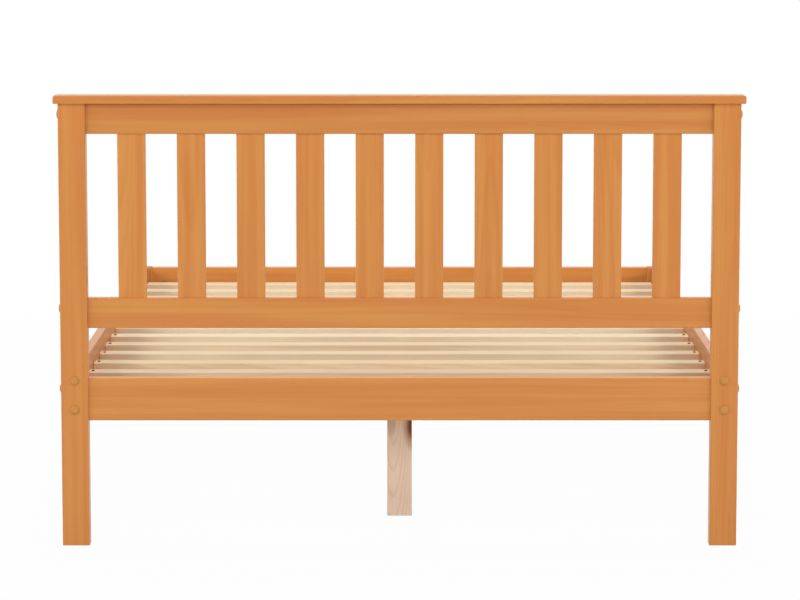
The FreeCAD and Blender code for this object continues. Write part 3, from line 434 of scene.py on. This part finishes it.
boltCap("side_bolt_caps", "side_rail_bolt_caps")
boltCap("cross_bolt_caps", "cross_rail_bolt_caps")
woodScrew("slat_wood_screws", "slat_screws", thread["slatRise"])
woodScrew("ledger_wood_screws", "ledger_screws")
woodScrew("bracket_wood_screws", "bracket_screws")


# Floor, light and camera.
floorLook = {"reach": 60.0, "colour": (0.70, 0.70, 0.70, 1.0), "glowNear": 0.97, "near": 1.8, "far": 4.5}
studio = {"sky": 0.07, "aim": (0, -0.2, 0.4)}
pairedLamps = {"key": {"place": (5.0, -6.0, 1.95), "size": (2.4, 1.5), "power": 133.0},
               "side": {"place": (5.2, -2.6, 2.7), "size": (1.6, 1.3), "power": 90.0}}
frontLamp = {"place": (0, -6.2, 4.5), "aim": studio["aim"], "size": (3.4, 1.0), "power": 92.0}
topLamp = {"place": (0, 0.3, 4.6), "aim": (0, 0.3, 0), "size": (3.2, 2.6), "power": 84.0}
backLamp = {"place": (0, 4.5, 4.6), "aim": studio["aim"], "size": (3.2, 1.6), "power": 132.0}
camera = {"lens": 152.583, "sensor": 36.0, "pitch": 0.12479, "height": 1.47871, "away": 7.40667,
          "aside": 0.0011, "clipEnd": 200.0}


def seenDirectly(wire):
    # 1 for what the camera sees straight, in a reflection or through glass
    path = wire.make("ShaderNodeLightPath").socket.node.outputs
    direct, mirrored, through = (Wire(wire.tree, path[key]) for key in
                                 ("Is Camera Ray", "Is Glossy Ray", "Is Transmission Ray"))
    return direct.math("MAXIMUM", direct.math("MAXIMUM", direct, mirrored), through)


def whiteFloor():
    # white to the eye, a little less so near the bed, where it keeps the bed's shadow
    reach = floorLook["reach"]
    mesh = bpy.data.meshes.new("floor")
    corners = [(-reach, -reach, 0), (reach, -reach, 0), (reach, reach, 0), (-reach, reach, 0)]
    mesh.from_pydata(corners, [], [(0, 1, 2, 3)])
    floor = bpy.data.objects.new("floor", mesh)
    bpy.context.scene.collection.objects.link(floor)
    material, wire = newMaterial("floor_paint")
    spot = wire.make("ShaderNodeTexCoord", output="Object")
    away = wire.vector("LENGTH", spot, output="Value").step(floorLook["near"], floorLook["far"])
    glowShare = floorLook["glowNear"] + (1 - floorLook["glowNear"]) * away
    paint = wire.make("ShaderNodeBsdfDiffuse", {}, {"Color": floorLook["colour"]})
    glow = wire.make("ShaderNodeEmission", {}, {"Color": (1, 1, 1, 1), "Strength": 1.0})
    lit = wire.make("ShaderNodeMixShader", {}, {0: seenDirectly(wire) * glowShare, 1: paint, 2: glow})
    under = wire.make("ShaderNodeNewGeometry", output="Backfacing")
    clear = wire.make("ShaderNodeBsdfTransparent")
    both = wire.make("ShaderNodeMixShader", {}, {0: under, 1: lit, 2: clear})
    wire.make("ShaderNodeOutputMaterial", {}, {"Surface": both})
    mesh.materials.append(material)


def sky():
    world = bpy.data.worlds.new("studio")
    bpy.context.scene.world = world
    world.use_nodes = True
    world.node_tree.nodes.clear()
    wire = Wire(world.node_tree)
    light = wire.make("ShaderNodeBackground", {}, {"Color": (1, 1, 1, 1), "Strength": studio["sky"]})
    white = wire.make("ShaderNodeBackground", {}, {"Color": (1, 1, 1, 1), "Strength": 1.0})
    both = wire.make("ShaderNodeMixShader", {}, {0: seenDirectly(wire), 1: light, 2: white})
    wire.make("ShaderNodeOutputWorld", {}, {"Surface": both})


def softbox(name, place, aim, size, power):
    light = bpy.data.lights.new(name, "AREA")
    light.shape = "RECTANGLE"
    light.size, light.size_y = size
    light.energy = power
    lamp = bpy.data.objects.new(name, light)
    lamp.location = place
    lamp.visible_glossy = False  # the satin lacquer mirrors the white room, not the lamps
    way = np.array(aim) - np.array(place)
    lamp.rotation_euler = (math.atan2(math.hypot(way[0], way[1]), -way[2]), 0, math.atan2(-way[0], way[1]))
    bpy.context.scene.collection.objects.link(lamp)


whiteFloor()
sky()
for hand, way in (("left", -1), ("right", 1)):
    for name, lamp in pairedLamps.items():
        aside, back, up = lamp["place"]
        softbox(hand + "_" + name, (way * aside, back, up), studio["aim"], lamp["size"], lamp["power"])
softbox("front_light", **frontLamp)
softbox("top_light", **topLamp)
softbox("back_light", **backLamp)

lens = bpy.data.cameras.new("camera")
lens.lens = camera["lens"]
lens.sensor_width = camera["sensor"]
lens.clip_end = camera["clipEnd"]
eye = bpy.data.objects.new("camera", lens)
eye.location = (camera["aside"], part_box("head_post_left")[0].y - camera["away"], camera["height"])
eye.rotation_euler = (math.pi / 2 - camera["pitch"], 0, 0)
bpy.context.scene.collection.objects.link(eye)
bpy.context.scene.camera = eye
bpy.context.scene.view_settings.view_transform = "Standard"
print("stage: floor, light and camera set")
